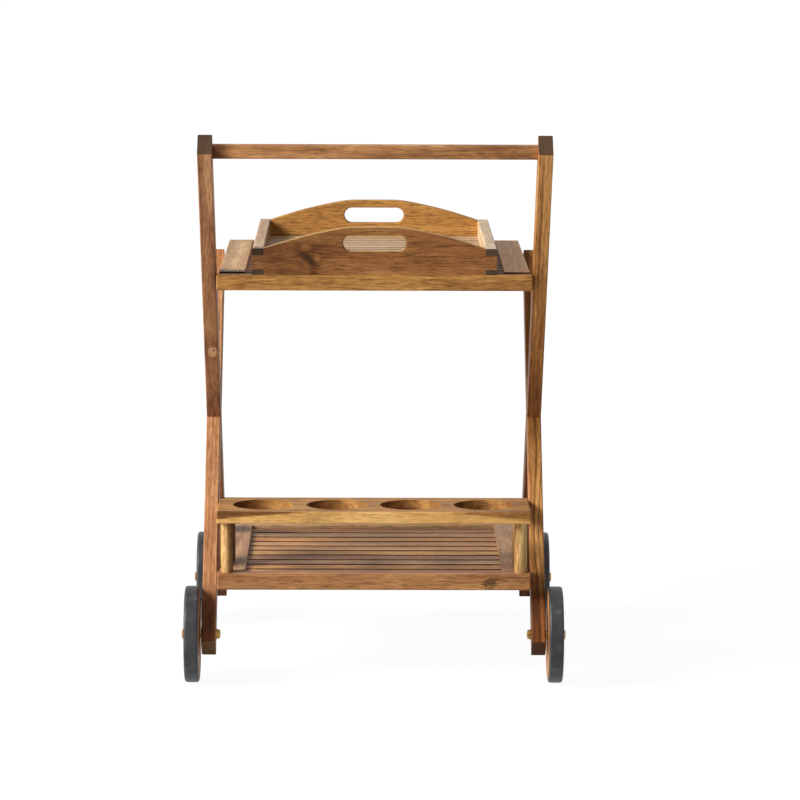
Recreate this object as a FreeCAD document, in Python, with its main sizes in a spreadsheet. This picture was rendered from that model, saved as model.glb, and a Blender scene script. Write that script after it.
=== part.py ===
"""Wooden bar cart: half-lapped X side frames, two slatted shelves, bottle rack, lift-off tray, four wheels.

Frame: +Z up, origin on the floor under the middle of the bounding box, handle end toward -Y, left toward -X.
"""
import FreeCAD, Part
import math
import os
import re
import Sketcher

Vector = FreeCAD.Vector

# Driving sizes in millimetres, the lean in degrees; a reach is measured from where a side frame's legs cross
SIZES = {
    # Side frames
    "frame_width": 521,
    "leg_thickness": 21.5,
    "leg_depth": 42,
    "leg_lean": 39,
    "handle_leg_reach": 578.6,
    "cross_leg_reach": 295,
    "foot_reach": 413,
    "foot_margin": 24.4,
    "leg_ease": 2,
    "lap_gap": 0.1,
    "lap_pin_diameter": 8,
    "lap_pin_length": 17,
    # Handle bar with round tenons
    "handle_section": 21,
    "handle_drop": 13.5,
    "handle_ease": 3,
    "tenon_diameter": 12,
    "tenon_length": 12,
    # Shelf rails and side boards
    "upper_rail_depth": 24,
    "lower_rail_depth": 34,
    "rail_height": 24,
    "rail_ease": 3,
    "rail_end_gap": 0.5,
    "board_width": 39,
    "board_gap": 4.5,
    "upper_board_rise": 2.4,
    "board_ease": 1.5,
    "tongue_edge": 6,
    "tongue_bottom": 5,
    "tongue_width": 22,
    "tongue_height": 8,
    "tongue_length": 14,
    "upper_front_overhang": 42,
    "upper_rear_reach": 308,
    "lower_top": 164.5,
    "lower_front_overhang": 63.8,
    "lower_rear_overhang": 63.8,
    # Shelf slats, their ends in grooves
    "slat_width": 36,
    "slat_thickness": 10,
    "lower_slat_recess": 5.5,
    "slat_groove": 8,
    "slat_gap": 0.2,
    "slat_end_gap": 0.5,
    "slat_ease": 1.5,
    "upper_slat_count": 12,
    "lower_slat_count": 10,
    # Shelf fixings
    "bolt_diameter": 6,
    "bolt_length": 40,
    "bolt_head_diameter": 13.6,
    "bolt_head_height": 2.6,
    "bolt_edge": 16,
    "bolt_spacer_diameter": 12,
    "cleat_length": 100,
    "cleat_height": 32,
    "cleat_thickness": 28,
    "cleat_ease": 2,
    "cleat_bolt_drop": 23,
    "cleat_bolt_depth": 8.6,
    "cleat_screw_spread": 60,
    "screw_diameter": 4.5,
    "screw_length": 42,
    "screw_head_diameter": 9,
    "screw_head_height": 3.5,
    "hole_gap": 0.1,
    "tip_gap": 0.5,
    # Bottle rack on posts
    "rack_length": 476,
    "rack_depth": 140,
    "rack_thickness": 18,
    "rack_setback": 4,
    "rack_ease": 2,
    "bottle_hole": 93,
    "bottle_pitch": 112.5,
    "bottle_count": 4,
    "post_diameter": 19,
    "post_height": 77.2,
    "post_end_inset": 15,
    "post_edge_inset": 18,
    "spigot_diameter": 10,
    "spigot_length": 9,
    # Wheels on bolt axles
    "wheel_diameter": 146,
    "wheel_width": 22,
    "tyre_depth": 5,
    "tyre_ease": 4,
    "bush_diameter": 12,
    "axle_diameter": 8,
    "axle_gap": 0.05,
    "side_play": 0.3,
    "axle_spacer_diameter": 14,
    "axle_spacer_length": 3,
    "washer_diameter": 17,
    "washer_thickness": 1.5,
    "head_flats": 13,
    "head_height": 3.2,
    "nut_height": 4.5,
    "axle_tip": 0.8,
    # Lift-off tray
    "tray_width": 368,
    "tray_length": 477,
    "tray_setback": 3,
    "tray_wall": 17,
    "tray_side_height": 39.5,
    "tray_crest_height": 71.5,
    "tray_crest_width": 87,
    "tray_crest_radius": 160,
    "tray_flank_reach": 110,
    "tray_flank_drop": 13.6,
    "tray_flank_radius": 600,
    "tray_ease": 2,
    "finger_low": 8,
    "finger_middle": 21,
    "slot_length": 95.3,
    "slot_height": 24.3,
    "slot_level": 47.4,
    "slot_ease": 2,
    "tray_slat_width": 34,
    "tray_slat_thickness": 8,
    "tray_slat_level": 6,
    "tray_slat_count": 12,
    "tray_groove": 6,
}

# Sizes worked out from the driving ones
DERIVED = {
    "lean_sin": "sin(leg_lean * 1 deg)",
    "lean_cos": "cos(leg_lean * 1 deg)",
    "sqrt_three": "sqrt(3)",
    "double_sin": "sin(2 * leg_lean * 1 deg)",
    "double_cos": "cos(2 * leg_lean * 1 deg)",
    "outer_half": "frame_width / 2",
    "inner_half": "outer_half - leg_thickness",
    "axle_height": "wheel_diameter / 2",
    "axle_reach": "foot_reach - foot_margin",
    "axle_offset": "axle_reach * lean_sin",
    "crossing_height": "axle_height + axle_reach * lean_cos",
    "front_extent": "handle_leg_reach * lean_sin + leg_depth / 2 * lean_cos",
    "rear_extent": "axle_offset + axle_height",
    "cross_y": "(front_extent - rear_extent) / 2",
    "handle_reach": "handle_leg_reach - handle_drop",
    "cleat_bolt_reach": "cross_leg_reach - cleat_bolt_drop",
    "cleat_offset": "cleat_bolt_reach * lean_sin",
    "upper_top": "crossing_height + cleat_bolt_reach * lean_cos + cleat_bolt_depth + rail_height",
    "upper_bolt_rise": "upper_top - rail_height / 2 - crossing_height",
    "upper_front_reach": "upper_bolt_rise * lean_sin / lean_cos + upper_front_overhang",
    "lower_bolt_reach": "(crossing_height - lower_top + rail_height / 2) / lean_cos",
    "lower_bolt_offset": "lower_bolt_reach * lean_sin",
    "lower_front_reach": "lower_bolt_offset + lower_front_overhang",
    "lower_rear_reach": "lower_bolt_offset + lower_rear_overhang",
    "board_outer": "inner_half - board_gap",
    "upper_board_height": "rail_height + upper_board_rise",
    "lower_board_height": "rail_height",
    "upper_slat_bottom": "rail_height - slat_thickness",
    "lower_slat_bottom": "rail_height - lower_slat_recess - slat_thickness",
    "slat_length": "2 * (board_outer - board_width + slat_groove - slat_end_gap)",
    "upper_bay": "upper_front_reach + upper_rear_reach - 2 * upper_rail_depth",
    "lower_bay": "lower_front_reach + lower_rear_reach - 2 * lower_rail_depth",
    "upper_slat_space": "(upper_bay - upper_slat_count * slat_width) / (upper_slat_count + 1)",
    "lower_slat_space": "(lower_bay - lower_slat_count * slat_width) / (lower_slat_count + 1)",
    "bolt_hole": "bolt_diameter + 2 * hole_gap",
    "bolt_tip": "outer_half - bolt_head_height - bolt_length",
    "upper_bolt_y": "upper_rail_depth + bolt_edge - upper_front_reach",
    "cleat_bottom": "upper_top - rail_height - cleat_height",
    "cleat_bolt_rise": "cleat_height - cleat_bolt_depth",
    "screw_hole": "screw_diameter + 2 * hole_gap",
    "cleat_screw_x": "(board_outer + inner_half - cleat_thickness) / 2",
    "post_x": "rack_length / 2 - post_end_inset",
    "wheel_inner_face": "axle_spacer_length + side_play",
    "washer_seat": "wheel_inner_face + wheel_width + side_play",
    "head_seat": "washer_seat + washer_thickness",
    "axle_hole": "axle_diameter + 2 * hole_gap",
    "disc_diameter": "wheel_diameter - 2 * tyre_depth",
    "tray_inner": "tray_width / 2 - tray_wall",
    "tray_front": "tray_setback - upper_front_reach",
    "finger_top": "finger_low + finger_middle",
    "tray_bay": "tray_length - 2 * tray_wall",
    "tray_slat_space": "(tray_bay - tray_slat_count * tray_slat_width) / (tray_slat_count + 1)",
    "tray_slat_length": "2 * (tray_inner + tray_groove - slat_end_gap)",
}

# Tolerances for picking edges and for telling that a pocket cuts, in millimetres and cubic millimetres
NEAR = 0.01
ALIGNED = 0.999
LEAST_CUT = 1

SIDES = (("left", -1), ("right", 1))
ENDS = (("front", -1), ("rear", 1))

doc = FreeCAD.newDocument("bar_cart")
nodes = []


def fill_sheet():
    """Put the driving and derived sizes in the spreadsheet, one named cell each."""
    sheet = doc.addObject("Spreadsheet::Sheet", "sizes")
    cells = [(alias, str(value)) for alias, value in SIZES.items()]
    cells += [(alias, "=" + formula) for alias, formula in DERIVED.items()]
    for row, (alias, content) in enumerate(cells, 1):
        sheet.set(f"A{row}", alias)
        sheet.set(f"B{row}", content)
        sheet.setAlias(f"B{row}", alias)
    doc.recompute()


def bind(formula):
    """Make a formula in size names read the spreadsheet."""
    return re.sub(r"[a-z_]+", r"sizes.\g<0>", formula)


def new_body(label, x="0", y="0", z="0", lean=0, is_node=True):
    """Start a body with its origin at a place given in size names, leaning about X if lean is 1 or -1."""
    body = doc.addObject("PartDesign::Body", label)
    body.Label = label
    if lean:
        body.Placement = FreeCAD.Placement(Vector(), FreeCAD.Rotation(Vector(lean, 0, 0), SIZES["leg_lean"]))
        body.setExpression("Placement.Rotation.Angle", "sizes.leg_lean * 1 deg")
    for axis, formula in zip("xyz", (x, y, z)):
        if formula != "0":
            body.setExpression(f"Placement.Base.{axis}", bind(formula))
    if is_node:
        nodes.append(body)
    return body


def group(label, members):
    """Gather identical separate pieces in one node."""
    compound = doc.addObject("Part::Compound", label)
    compound.Label = label
    compound.Links = members
    nodes.append(compound)


def sketch_on(body, role, offset="0"):
    """Start a sketch on one of the body's origin planes, moved along the plane's normal by an offset."""
    plane = next(item for item in body.Origin.OriginFeatures if item.Role == role)
    sketch = body.newObject("Sketcher::SketchObject", body.Label + "_sketch")
    sketch.AttachmentSupport = [(plane, "")]
    sketch.MapMode = "FlatFace"
    if offset != "0":
        sketch.setExpression("AttachmentOffset.Base.z", bind(offset))
    return sketch


def locate(sketch, curve, end, x=None, y=None):
    """Fix a curve's end at sketch coordinates given in size names."""
    spot = sketch.getPoint(curve, end)
    for kind, axis, drawn, formula in (("DistanceX", -2, spot.x, x), ("DistanceY", -1, spot.y, y)):
        if formula == "0":
            sketch.addConstraint(Sketcher.Constraint("PointOnObject", curve, end, axis))
        elif formula:
            index = sketch.addConstraint(Sketcher.Constraint(kind, -1, 1, curve, end, drawn))
            sketch.setExpression(f"Constraints[{index}]", bind(formula))


def polygon(sketch, corners):
    """Draw a closed outline through corners given in size names."""
    count = len(corners)
    first = sketch.GeometryCount
    turn = 2 * math.pi / count
    spots = [Vector(math.cos(turn * i), math.sin(turn * i), 0) for i in range(count)]
    for i in range(count):
        sketch.addGeometry(Part.LineSegment(spots[i], spots[(i + 1) % count]))
    for i in range(count):
        sketch.addConstraint(Sketcher.Constraint("Coincident", first + i, 2, first + (i + 1) % count, 1))
    for i, (x, y) in enumerate(corners):
        locate(sketch, first + i, 1, x, y)


def rectangle(sketch, left, bottom, right, top):
    polygon(sketch, [(left, bottom), (right, bottom), (right, top), (left, top)])


def circle(sketch, x, y, diameter):
    curve = sketch.addGeometry(Part.Circle(Vector(), Vector(0, 0, 1), 1.0))
    locate(sketch, curve, 3, x, y)
    index = sketch.addConstraint(Sketcher.Constraint("Diameter", curve, 2.0))
    sketch.setExpression(f"Constraints[{index}]", bind(diameter))


def hexagon(sketch, flats):
    """Draw a hexagon about the sketch origin with two flats level."""
    half = f"{flats} / 2"
    short = f"{flats} / (2 * sqrt_three)"
    long = f"{flats} / sqrt_three"
    polygon(sketch, [(long, "0"), (short, half), ("-" + short, half),
                     ("-" + long, "0"), ("-" + short, "-" + half), (short, "-" + half)])


def stadium(sketch, level, length, height):
    """Draw a slot with full-round ends, its middle at a level on the sketch's vertical axis."""
    reach = f"({length} - {height}) / 2"
    top = f"{level} + {height} / 2"
    bottom = f"{level} - {height} / 2"
    span = (SIZES[length] - SIZES[height]) / 2
    radius = SIZES[height] / 2
    middle = SIZES[level]
    up = Vector(0, 0, 1)
    right_end = Part.Circle(Vector(span, middle, 0), up, radius)
    left_end = Part.Circle(Vector(-span, middle, 0), up, radius)
    quarter = math.pi / 2
    first = sketch.GeometryCount
    sketch.addGeometry(Part.LineSegment(Vector(-span, middle - radius, 0), Vector(span, middle - radius, 0)))
    sketch.addGeometry(Part.ArcOfCircle(right_end, -quarter, quarter))
    sketch.addGeometry(Part.LineSegment(Vector(span, middle + radius, 0), Vector(-span, middle + radius, 0)))
    sketch.addGeometry(Part.ArcOfCircle(left_end, quarter, 3 * quarter))
    for i in range(4):
        sketch.addConstraint(Sketcher.Constraint("Coincident", first + i, 2, first + (i + 1) % 4, 1))
    locate(sketch, first, 1, "-" + reach, bottom)
    locate(sketch, first, 2, reach, bottom)
    locate(sketch, first + 2, 1, reach, top)
    locate(sketch, first + 2, 2, "-" + reach, top)
    locate(sketch, first + 1, 3, x=reach)
    locate(sketch, first + 3, 3, x="-" + reach)


def pad(body, sketch, length, toward=1):
    """Extrude along the sketch's normal (1), against it (-1) or evenly both ways (0)."""
    feature = body.newObject("PartDesign::Pad", body.Label + "_pad")
    feature.Profile = sketch
    feature.setExpression("Length", bind(length))
    if toward == 0:
        feature.SideType = "Symmetric"
    feature.Reversed = toward < 0


def cut(body, sketch, depth, toward):
    """Pocket along the sketch's normal (1) or against it (-1)."""
    feature = body.newObject("PartDesign::Pocket", body.Label + "_cut")
    feature.Profile = sketch
    feature.setExpression("Length", bind(depth))
    feature.Reversed = toward > 0


def revolve(body, sketch, axis):
    feature = body.newObject("PartDesign::Revolution", body.Label + "_turn")
    feature.Profile = sketch
    feature.ReferenceAxis = (sketch, [axis])
    feature.Angle = 360


def ease(body, radius, wanted):
    """Round the edges of the body so far that the test picks."""
    doc.recompute()
    base = body.Tip
    names = [f"Edge{i}" for i, edge in enumerate(base.Shape.Edges, 1) if wanted(edge)]
    feature = body.newObject("PartDesign::Fillet", body.Label + "_ease")
    feature.Base = (base, names)
    feature.setExpression("Radius", bind(radius))


def runs_along(axis):
    """Test for straight edges parallel to an axis."""
    def wanted(edge):
        return isinstance(edge.Curve, Part.Line) and abs(edge.Curve.Direction.dot(axis)) > ALIGNED
    return wanted


X_WAY = Vector(1, 0, 0)
Y_WAY = Vector(0, 1, 0)
Z_WAY = Vector(0, 0, 1)


def every_edge(edge):
    return True


def ring(label, side_sign, x, y, z, hole, diameter, length, is_node):
    """Make a ring about an X axis that runs outward from its place by its length."""
    body = new_body(label, x, y, z, is_node=is_node)
    face = sketch_on(body, "YZ_Plane")
    circle(face, "0", "0", diameter)
    circle(face, "0", "0", hole)
    pad(body, face, length, side_sign)
    return body


def leg(name, side, sign, lean, reach, notch_offset):
    """Make a leaning leg from its inner face outward, with the half-lap notch and the holes every leg has."""
    body = new_body(f"{name}_{side}", f"{sign} * inner_half", "cross_y", "crossing_height", lean)
    outline = sketch_on(body, "YZ_Plane")
    rectangle(outline, "-leg_depth / 2", "-foot_reach", "leg_depth / 2", reach)
    pad(body, outline, "leg_thickness", sign)
    ease(body, "leg_ease", runs_along(Z_WAY))

    # The other leg crosses at twice the lean, so its sides cut this leg along two slanting lines
    def crossing(across, half_width):
        return across, f"{lean} * ({across} * double_cos + {half_width}) / double_sin"
    near = "-(leg_depth / 2 + lap_gap)"
    far = "(leg_depth / 2 + lap_gap)"
    notch = sketch_on(body, "YZ_Plane", notch_offset)
    polygon(notch, [crossing("-leg_depth", near), crossing("leg_depth", near),
                    crossing("leg_depth", far), crossing("-leg_depth", far)])
    cut(body, notch, "leg_thickness / 2", sign)

    pin_hole = sketch_on(body, "YZ_Plane")
    circle(pin_hole, "0", "0", "lap_pin_diameter + 2 * hole_gap")
    cut(body, pin_hole, "lap_pin_length", sign)
    axle = sketch_on(body, "YZ_Plane")
    circle(axle, "0", "-axle_reach", "axle_hole")
    cut(body, axle, "leg_thickness", sign)
    bolt_through_leg(body, sign, "0", "-lower_bolt_reach")
    return body


def bolt_through_leg(body, sign, across, along):
    """Drill a leg for a shelf bolt, with a seat for its head in the outer face."""
    shank = sketch_on(body, "YZ_Plane")
    circle(shank, across, along, "bolt_hole")
    cut(body, shank, "leg_thickness", sign)
    seat = sketch_on(body, "YZ_Plane", f"{sign} * leg_thickness")
    circle(seat, across, along, "bolt_head_diameter + 2 * hole_gap")
    cut(body, seat, "bolt_head_height", -sign)


def handle_leg(side, sign):
    body = leg("leg_handle", side, sign, 1, "handle_leg_reach", "0")
    bolt_through_leg(body, sign, "upper_bolt_y * lean_cos + upper_bolt_rise * lean_sin",
                     "upper_bolt_rise * lean_cos - upper_bolt_y * lean_sin")
    socket = sketch_on(body, "YZ_Plane")
    circle(socket, "0", "handle_reach", "tenon_diameter + 2 * hole_gap")
    cut(body, socket, "tenon_length + tip_gap", sign)


def cross_leg(side, sign):
    body = leg("leg_cross", side, sign, -1, "cross_leg_reach", f"{sign} * leg_thickness / 2")
    bolt_through_leg(body, sign, "0", "cleat_bolt_reach")


def lap_pins():
    members = []
    for side, sign in SIDES:
        pin = new_body(f"lap_pin_{side}", f"{sign} * inner_half", "cross_y", "crossing_height", is_node=False)
        face = sketch_on(pin, "YZ_Plane")
        circle(face, "0", "0", "lap_pin_diameter")
        pad(pin, face, "lap_pin_length", sign)
        members.append(pin)
    group("lap_pins", members)


def handle_bar():
    body = new_body("handle_bar", "0", "cross_y - handle_reach * lean_sin",
                    "crossing_height + handle_reach * lean_cos")
    section = sketch_on(body, "YZ_Plane")
    half = "handle_section / 2"
    rectangle(section, "-" + half, "-" + half, half, half)
    pad(body, section, "2 * inner_half", 0)
    ease(body, "handle_ease", runs_along(X_WAY))
    tenons = sketch_on(body, "YZ_Plane")
    circle(tenons, "0", "0", "tenon_diameter")
    pad(body, tenons, "2 * (inner_half + tenon_length)", 0)


def rail(shelf, end, half_length="(inner_half - rail_end_gap)"):
    """Make a shelf's front or rear rail with a mortise for each side board's tongue."""
    depth = f"{shelf}_rail_depth"
    start = {"front": f"cross_y - {shelf}_front_reach",
             "rear": f"cross_y + {shelf}_rear_reach - {depth}"}[end]
    body = new_body(f"{shelf}_{end}_rail", "0", start, f"{shelf}_top - rail_height")
    outline = sketch_on(body, "XY_Plane")
    rectangle(outline, "-" + half_length, "0", half_length, depth)
    pad(body, outline, "rail_height")
    ease(body, "rail_ease", every_edge)

    # The XZ plane's normal points to -Y
    inner_face, inward = {"front": ("-" + depth, 1), "rear": ("0", -1)}[end]
    mortises = sketch_on(body, "XZ_Plane", inner_face)
    for side, sign in SIDES:
        rectangle(mortises, f"{sign} * (board_outer - tongue_edge + hole_gap)", "tongue_bottom - hole_gap",
                  f"{sign} * (board_outer - tongue_edge - tongue_width - hole_gap)",
                  "tongue_bottom + tongue_height + hole_gap")
    cut(body, mortises, "tongue_length + tip_gap", inward)
    return body


def lower_front_rail():
    """Make the lower front rail, whose top also takes the spigots of the front rack posts."""
    body = rail("lower", "front")
    sockets = sketch_on(body, "XY_Plane", "rail_height")
    for side, sign in SIDES:
        circle(sockets, f"{sign} * post_x", "rack_setback + post_edge_inset",
               "spigot_diameter + 2 * hole_gap")
    cut(body, sockets, "spigot_length + tip_gap", -1)


def side_board(shelf, side, sign, bolt_places):
    """Make a shelf's side board: a groove for the slat ends, a tongue at each end, blind holes for bolts."""
    body = new_body(f"{shelf}_side_board_{side}", f"{sign} * board_outer",
                    f"cross_y - {shelf}_front_reach + {shelf}_rail_depth", f"{shelf}_top - rail_height")
    inner = f"{-sign} * board_width"
    groove = f"{-sign} * (board_width - slat_groove)"
    height = f"{shelf}_board_height"
    groove_bottom = f"{shelf}_slat_bottom"
    groove_top = groove_bottom + " + slat_thickness + slat_gap"
    section = sketch_on(body, "XZ_Plane")
    polygon(section, [("0", "0"), (inner, "0"), (inner, groove_bottom), (groove, groove_bottom),
                      (groove, groove_top), (inner, groove_top), (inner, height), ("0", height)])
    pad(body, section, f"{shelf}_bay", -1)
    along_board = runs_along(Y_WAY)

    def at_outer_corner(edge):
        level = edge.Vertexes[0].Z
        box = body.Tip.Shape.BoundBox
        return along_board(edge) and min(level - box.ZMin, box.ZMax - level) < NEAR
    ease(body, "board_ease", at_outer_corner)

    tongue = sketch_on(body, "XZ_Plane", "tongue_length")
    rectangle(tongue, f"{-sign} * tongue_edge", "tongue_bottom",
              f"{-sign} * (tongue_edge + tongue_width)", "tongue_bottom + tongue_height")
    pad(body, tongue, f"{shelf}_bay + 2 * tongue_length", -1)
    holes = sketch_on(body, "YZ_Plane")
    for place in bolt_places:
        circle(holes, place, "rail_height / 2", "bolt_hole")
    cut(body, holes, "board_outer - bolt_tip + tip_gap", -sign)
    return body


def upper_side_board(side, sign):
    body = side_board("upper", side, sign, ["bolt_edge"])
    pilots = sketch_on(body, "XY_Plane")
    for end, way in ENDS:
        place = f"cleat_offset + {way} * cleat_screw_spread / 2 + upper_front_reach - upper_rail_depth"
        circle(pilots, f"{sign} * (cleat_screw_x - board_outer)", place, "screw_hole")
    cut(body, pilots, "screw_length - cleat_height + screw_head_height + tip_gap", 1)


def lower_side_board(side, sign):
    middle = "lower_front_reach - lower_rail_depth"
    places = [f"{middle} - lower_bolt_offset", f"{middle} + lower_bolt_offset"]
    body = side_board("lower", side, sign, places)
    socket = sketch_on(body, "XY_Plane", "rail_height")
    circle(socket, f"{sign} * (post_x - board_outer)",
           "rack_setback + rack_depth - post_edge_inset - lower_rail_depth", "spigot_diameter + 2 * hole_gap")
    cut(body, socket, "spigot_length + tip_gap", -1)


def slat(label, y, z, width, thickness, length, is_node):
    """Make a slat across the cart, its front lower edge at a place, its top edges rounded."""
    body = new_body(label, "0", y, z, is_node=is_node)
    section = sketch_on(body, "YZ_Plane")
    rectangle(section, "0", "0", width, thickness)
    pad(body, section, length, 0)
    along_slat = runs_along(X_WAY)
    ease(body, "slat_ease", lambda edge: along_slat(edge) and edge.Vertexes[0].Z > NEAR)
    return body


def shelf_slats(shelf, is_node):
    """Lay a shelf's slats evenly between its rails."""
    members = []
    for i in range(SIZES[f"{shelf}_slat_count"]):
        y = (f"cross_y - {shelf}_front_reach + {shelf}_rail_depth + {shelf}_slat_space"
             f" + {i} * (slat_width + {shelf}_slat_space)")
        z = f"{shelf}_top - rail_height + {shelf}_slat_bottom"
        members.append(slat(f"{shelf}_slat_{i + 1:02d}", y, z, "slat_width", "slat_thickness", "slat_length",
                            is_node))
    return members


def cleat(side, sign):
    """Make the block that carries the upper shelf's rear end on the cross leg."""
    body = new_body(f"upper_cleat_{side}", f"{sign} * inner_half",
                    "cross_y + cleat_offset - cleat_length / 2", "cleat_bottom")
    outline = sketch_on(body, "XY_Plane")
    rectangle(outline, "0", "0", f"{-sign} * cleat_thickness", "cleat_length")
    pad(body, outline, "cleat_height")
    along_cleat = runs_along(Y_WAY)
    ease(body, "cleat_ease", lambda edge: along_cleat(edge) and edge.Vertexes[0].Z < NEAR)
    bolt = sketch_on(body, "YZ_Plane")
    circle(bolt, "cleat_length / 2", "cleat_bolt_rise", "bolt_hole")
    cut(body, bolt, "inner_half - bolt_tip + tip_gap", -sign)
    shanks = sketch_on(body, "XY_Plane")
    seats = sketch_on(body, "XY_Plane")
    for end, way in ENDS:
        place = (f"{sign} * (cleat_screw_x - inner_half)",
                 f"cleat_length / 2 + {way} * cleat_screw_spread / 2")
        circle(shanks, *place, "screw_hole")
        circle(seats, *place, "screw_head_diameter + 2 * hole_gap")
    cut(body, shanks, "cleat_height", 1)
    cut(body, seats, "screw_head_height", 1)


def turned_screw(label, place, role, way, head_diameter, head_height, diameter, length):
    """Make a flat-headed screw with its head face at a place and its shank along a sketch axis."""
    body = new_body(label, *place, is_node=False)
    profile = sketch_on(body, role)
    tip = f"{way} * ({head_height} + {length})"
    seat = f"{way} * {head_height}"
    corners = [("0", "0"), ("0", head_diameter + " / 2"), (seat, head_diameter + " / 2"),
               (seat, diameter + " / 2"), (tip, diameter + " / 2"), (tip, "0")]
    if role == "YZ_Plane":
        corners = [(radius, height) for height, radius in corners]
    polygon(profile, corners)
    revolve(body, profile, "H_Axis" if role == "XY_Plane" else "V_Axis")
    return body


def shelf_bolts():
    """Place the flush bolts that hold the shelves in the side frames."""
    places = (("upper_front", "upper_bolt_y", "upper_top - rail_height / 2"),
              ("upper_rear", "cleat_offset", "cleat_bottom + cleat_bolt_rise"),
              ("lower_front", "-lower_bolt_offset", "lower_top - rail_height / 2"),
              ("lower_rear", "lower_bolt_offset", "lower_top - rail_height / 2"))
    bolts = []
    spacers = []
    for side, sign in SIDES:
        for name, y, z in places:
            place = (f"{sign} * outer_half", f"cross_y + {y}", z)
            bolts.append(turned_screw(f"{name}_bolt_{side}", place, "XY_Plane", -sign,
                                      "bolt_head_diameter", "bolt_head_height", "bolt_diameter",
                                      "bolt_length"))
            if name != "upper_rear":
                inner_face = (f"{sign} * inner_half", f"cross_y + {y}", z)
                spacers.append(ring(f"{name}_spacer_{side}", -sign, *inner_face, "bolt_hole",
                                    "bolt_spacer_diameter", "board_gap", False))
    group("shelf_bolts", bolts)
    group("bolt_spacers", spacers)


def cleat_screws():
    members = []
    for side, sign in SIDES:
        for end, way in ENDS:
            place = (f"{sign} * cleat_screw_x", f"cross_y + cleat_offset + {way} * cleat_screw_spread / 2",
                     "cleat_bottom")
            members.append(turned_screw(f"cleat_screw_{end}_{side}", place, "YZ_Plane", 1,
                                        "screw_head_diameter", "screw_head_height", "screw_diameter",
                                        "screw_length"))
    group("cleat_screws", members)


def rack_board():
    """Make the rack's board with a row of bottle holes and a socket under each corner."""
    body = new_body("rack_board", "0", "cross_y - lower_front_reach + rack_setback",
                    "lower_top + post_height")
    outline = sketch_on(body, "XY_Plane")
    rectangle(outline, "-rack_length / 2", "0", "rack_length / 2", "rack_depth")
    pad(body, outline, "rack_thickness")
    ease(body, "rack_ease", every_edge)
    holes = sketch_on(body, "XY_Plane")
    for i in range(SIZES["bottle_count"]):
        circle(holes, f"({i} - (bottle_count - 1) / 2) * bottle_pitch", "rack_depth / 2", "bottle_hole")
    cut(body, holes, "rack_thickness", 1)
    sockets = sketch_on(body, "XY_Plane")
    for side, sign in SIDES:
        for end, way in ENDS:
            along = f"rack_depth / 2 + {way} * (rack_depth / 2 - post_edge_inset)"
            circle(sockets, f"{sign} * post_x", along, "spigot_diameter + 2 * hole_gap")
    cut(body, sockets, "spigot_length + tip_gap", 1)


def rack_post(end, way, side, sign):
    """Turn a rack post with a spigot at each end."""
    y = ("cross_y - lower_front_reach + rack_setback + rack_depth / 2"
         f" + {way} * (rack_depth / 2 - post_edge_inset)")
    body = new_body(f"rack_post_{end}_{side}", f"{sign} * post_x", y, "lower_top")
    profile = sketch_on(body, "YZ_Plane")
    thin = "spigot_diameter / 2"
    thick = "post_diameter / 2"
    polygon(profile, [("0", "-spigot_length"), (thin, "-spigot_length"), (thin, "0"), (thick, "0"),
                      (thick, "post_height"), (thin, "post_height"), (thin, "post_height + spigot_length"),
                      ("0", "post_height + spigot_length")])
    revolve(body, profile, "V_Axis")


def wheel(end, way, side, sign):
    """Make a wheel: a wooden disc, a rubber tyre around it and a bush in its middle."""
    place = (f"{sign} * (outer_half + wheel_inner_face)", f"cross_y + {way} * axle_offset", "axle_height")
    ring(f"wheel_disc_{end}_{side}", sign, *place, "bush_diameter", "disc_diameter", "wheel_width", True)
    tyre = ring(f"tyre_{end}_{side}", sign, *place, "disc_diameter", "wheel_diameter", "wheel_width", True)
    ease(tyre, "tyre_ease", lambda edge: edge.BoundBox.ZLength > SIZES["wheel_diameter"] - NEAR)
    ring(f"wheel_bush_{end}_{side}", sign, *place, "axle_diameter + 2 * axle_gap", "bush_diameter",
         "wheel_width", True)


def axle_bolt(label, sign, place):
    body = new_body(label, *place, is_node=False)
    head = sketch_on(body, "YZ_Plane", f"{sign} * head_seat")
    hexagon(head, "head_flats")
    pad(body, head, "head_height", sign)
    inner_end = "leg_thickness + washer_thickness + nut_height + axle_tip"
    shank = sketch_on(body, "YZ_Plane", f"{-sign} * ({inner_end})")
    circle(shank, "0", "0", "axle_diameter")
    pad(body, shank, f"head_seat + {inner_end}", sign)
    return body


def axle_nut(label, sign, place):
    body = new_body(label, *place, is_node=False)
    face = sketch_on(body, "YZ_Plane", f"{-sign} * (leg_thickness + washer_thickness)")
    hexagon(face, "head_flats")
    circle(face, "0", "0", "axle_diameter")
    pad(body, face, "nut_height", -sign)
    return body


def axles():
    """Place the bolt, washers, nut and spacer on which each wheel turns."""
    bolts = []
    nuts = []
    washers = []
    spacers = []
    for side, sign in SIDES:
        for end, way in ENDS:
            name = f"{end}_{side}"
            y = f"cross_y + {way} * axle_offset"
            outer_face = f"{sign} * outer_half"
            place = (outer_face, y, "axle_height")
            bolts.append(axle_bolt(f"axle_bolt_{name}", sign, place))
            nuts.append(axle_nut(f"axle_nut_{name}", sign, place))
            spacers.append(ring(f"axle_spacer_{name}", sign, *place, "axle_hole", "axle_spacer_diameter",
                                "axle_spacer_length", False))
            washers.append(ring(f"outer_washer_{name}", sign, f"{sign} * (outer_half + washer_seat)", y,
                                "axle_height", "axle_hole", "washer_diameter", "washer_thickness", False))
            washers.append(ring(f"inner_washer_{name}", -sign, f"{sign} * inner_half", y,
                                "axle_height", "axle_hole", "washer_diameter", "washer_thickness", False))
    group("axle_bolts", bolts)
    group("axle_nuts", nuts)
    group("axle_washers", washers)
    group("axle_spacers", spacers)


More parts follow.
